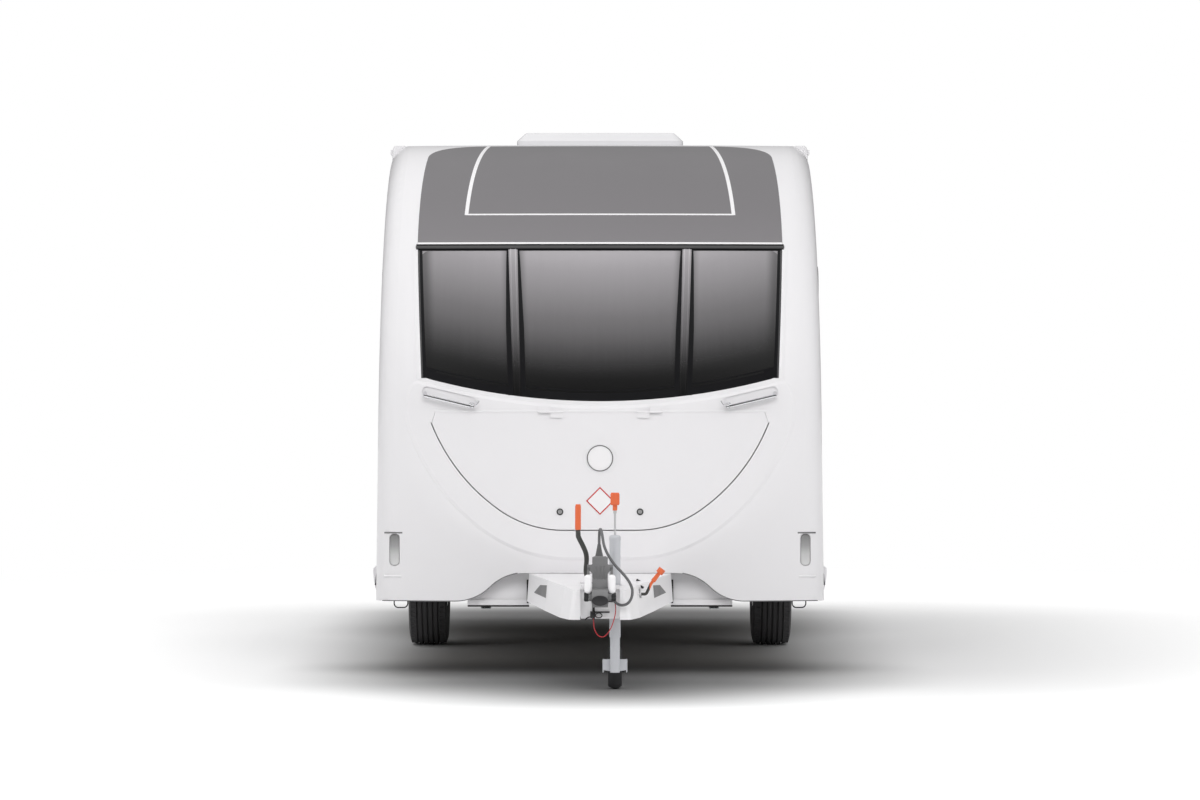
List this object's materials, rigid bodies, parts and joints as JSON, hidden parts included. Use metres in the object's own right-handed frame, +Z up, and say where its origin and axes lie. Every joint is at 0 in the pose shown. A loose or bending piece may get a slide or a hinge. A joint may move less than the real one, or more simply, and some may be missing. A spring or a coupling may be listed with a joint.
{
  "type": "travel caravan",
  "caption": "Touring caravan with a bowed front, tinted front windows, gas locker, braked axle, stabiliser coupling, jockey wheel and corner steadies.",
  "frame": {"origin": "on the ground, under the middle of the caravan's length and width", "axes": "+Z up, -Y forwards to the hitch, +X to the entry side"},
  "size_m": [2.2248, 6.4, 2.722],
  "materials": {
    "white_body": "gloss gel coat",
    "wall_skin": "gloss white",
    "glass": "tinted acrylic",
    "black_plastic": "matt black",
    "grey_plastic": "grey",
    "board": "sealed plywood",
    "steel": "galvanised",
    "cast": "grey paint",
    "rubber": "black rubber",
    "tyre": "black rubber",
    "alloy": "silver",
    "rail": "anodised",
    "orange": "orange",
    "red_plastic": "red cord",
    "lamp": "lamp lens"
  },
  "bodies": {
    "root": {"awning_rails": "rail", "axle_tube": "steel", "breakaway_cable": "red_plastic", "cable_brackets": "black_plastic", "chassis": "steel", "clamp_handle": "orange", "coupling_head": "cast", "drawbar": "steel", "drawbar_cover": "white_body", "floor": "board", "front_panel": "white_body", "front_windows": "glass", "gas_locker_box": "white_body", "grab_handles": "rail", "handbrake": "orange", "hatch_boxes": "grey_plastic", "jockey_clamp": "cast", "jockey_crank": "orange", "jockey_tube": "steel", "lid_hinge": "black_plastic", "marker_lamps": "lamp", "overrun": "cast", "rear_bumper": "white_body", "rear_lamps": "lamp", "rear_panel": "white_body", "rear_window": "glass", "roof": "white_body", "rooflights": "glass", "side_skirts": "white_body", "side_wall_left": "wall_skin", "side_wall_right": "wall_skin", "side_windows": "glass", "stabiliser_lever": "cast", "steady_brackets": "steel", "swing_arms": "steel", "towing_cable": "rubber", "towing_plug": "black_plastic", "wall_hinges": "black_plastic", "wheel_boxes": "black_plastic", "window_surround": "black_plastic"},
    "wheel_left": {"tyre_left": "tyre", "rim_left": "alloy"},
    "wheel_right": {"tyre_right": "tyre", "rim_right": "alloy"},
    "door": {"entry_door": "wall_skin", "door_window": "glass"},
    "gas_lid": {"gas_locker_lid": "white_body"},
    "battery_door": {"battery_hatch": "wall_skin"},
    "cassette_door": {"cassette_hatch": "wall_skin"},
    "jockey_swivel": {"jockey_fork": "steel"},
    "jockey_roller": {"jockey_wheel": "rubber"},
    "steady_fl": {"steady_front_left": "steel"},
    "steady_fr": {"steady_front_right": "steel"},
    "steady_rl": {"steady_rear_left": "steel"},
    "steady_rr": {"steady_rear_right": "steel"}
  },
  "joints": [
    {"name": "wheel_left_spin", "type": "hinge", "parent": "root", "child": "wheel_left", "pos_m": [-0.925, 0.8, 0.325], "axis": [1, 0, 0], "continuous": true},
    {"name": "wheel_right_spin", "type": "hinge", "parent": "root", "child": "wheel_right", "pos_m": [0.925, 0.8, 0.325], "axis": [1, 0, 0], "continuous": true},
    {"name": "entry_door_hinge", "type": "hinge", "parent": "root", "child": "door", "pos_m": [1.08908, -0.562, 1.424], "axis": [0.0132, 0, -0.9999], "range_deg": [0, 165]},
    {"name": "gas_lid_hinge", "type": "hinge", "parent": "root", "child": "gas_lid", "pos_m": [0, -1.914, 1.293], "axis": [-1, 0, 0], "range_deg": [0, 75]},
    {"name": "battery_hatch_hinge", "type": "hinge", "parent": "root", "child": "battery_door", "pos_m": [-1.09754, -1.182, 0.785], "axis": [0.0132, 0, 0.9999], "range_deg": [0, 150]},
    {"name": "cassette_hatch_hinge", "type": "hinge", "parent": "root", "child": "cassette_door", "pos_m": [-1.09734, 1.558, 0.8], "axis": [0.0132, 0, 0.9999], "range_deg": [0, 150]},
    {"name": "jockey_swivel", "type": "hinge", "parent": "root", "child": "jockey_swivel", "pos_m": [0.07, -2.72, 0.3], "axis": [0, 0, 1], "continuous": true},
    {"name": "jockey_wheel_spin", "type": "hinge", "parent": "jockey_swivel", "child": "jockey_roller", "pos_m": [0.07, -2.585, 0.1], "axis": [1, 0, 0], "continuous": true},
    {"name": "steady_fl_hinge", "type": "hinge", "parent": "root", "child": "steady_fl", "pos_m": [-0.905, -1.08, 0.388], "axis": [1, 0, 0], "range_deg": [0, 44]},
    {"name": "steady_fr_hinge", "type": "hinge", "parent": "root", "child": "steady_fr", "pos_m": [0.905, -1.08, 0.388], "axis": [1, 0, 0], "range_deg": [0, 44]},
    {"name": "steady_rl_hinge", "type": "hinge", "parent": "root", "child": "steady_rl", "pos_m": [-0.905, 2.44, 0.388], "axis": [-1, 0, 0], "range_deg": [0, 44]},
    {"name": "steady_rr_hinge", "type": "hinge", "parent": "root", "child": "steady_rr", "pos_m": [0.905, 2.44, 0.388], "axis": [-1, 0, 0], "range_deg": [0, 44]}
  ]
}
